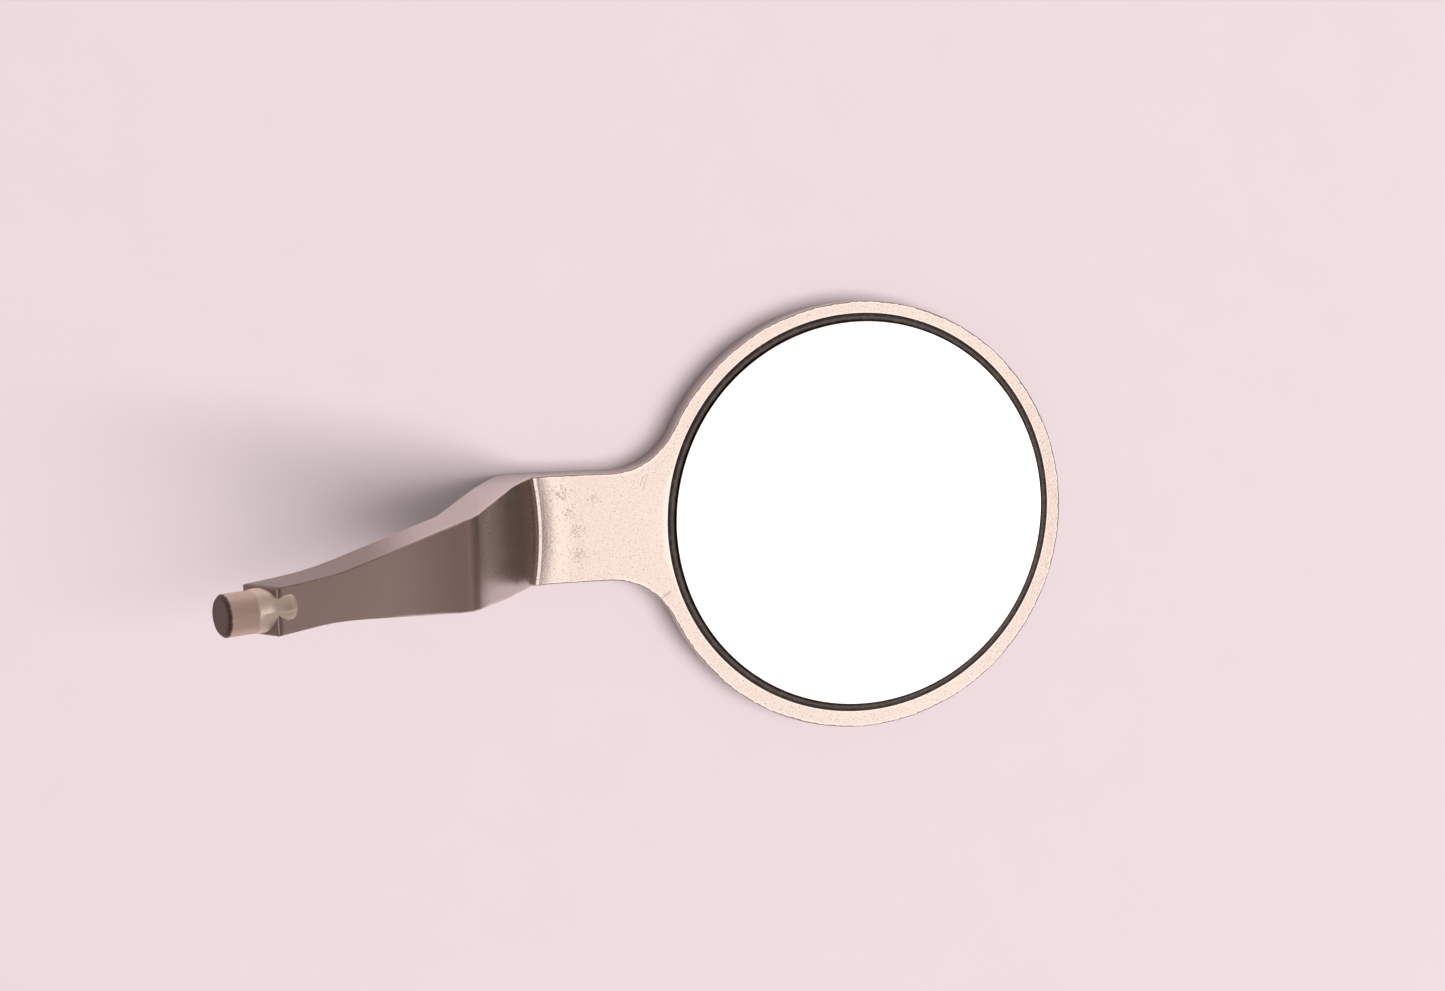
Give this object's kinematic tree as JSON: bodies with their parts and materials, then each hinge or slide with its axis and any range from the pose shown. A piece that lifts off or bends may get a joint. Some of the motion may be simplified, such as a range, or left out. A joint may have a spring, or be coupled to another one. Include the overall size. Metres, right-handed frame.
{
  "type": "mouth mirror head",
  "caption": "Round front-surface dental mirror bonded in a flat satin steel frame whose neck cranks up into a tapering arm with a short round tang.",
  "frame": {"origin": "under the middle of the mirror, on the flat back face of the frame", "axes": "+X from the arm towards the far edge of the rim, +Z the way the mirror faces, +Y across the width"},
  "size_m": [0.045, 0.024, 0.0207],
  "materials": {
    "frame_steel": "satin, bead blasted",
    "bond_resin": "cured clear resin",
    "glass": "polished",
    "mirror_film": "polished",
    "black_sealant": "semi-gloss epoxy",
    "tang_steel": "turned, satin",
    "silver_braze": "bright silver alloy"
  },
  "bodies": {
    "root": {"mirror_frame": "frame_steel", "glass_bond": "bond_resin", "mirror_glass": "glass", "mirror_coating": "mirror_film", "edge_seal": "black_sealant", "handle_tang": "tang_steel", "tang_braze": "silver_braze"}
  },
  "joints": []
}
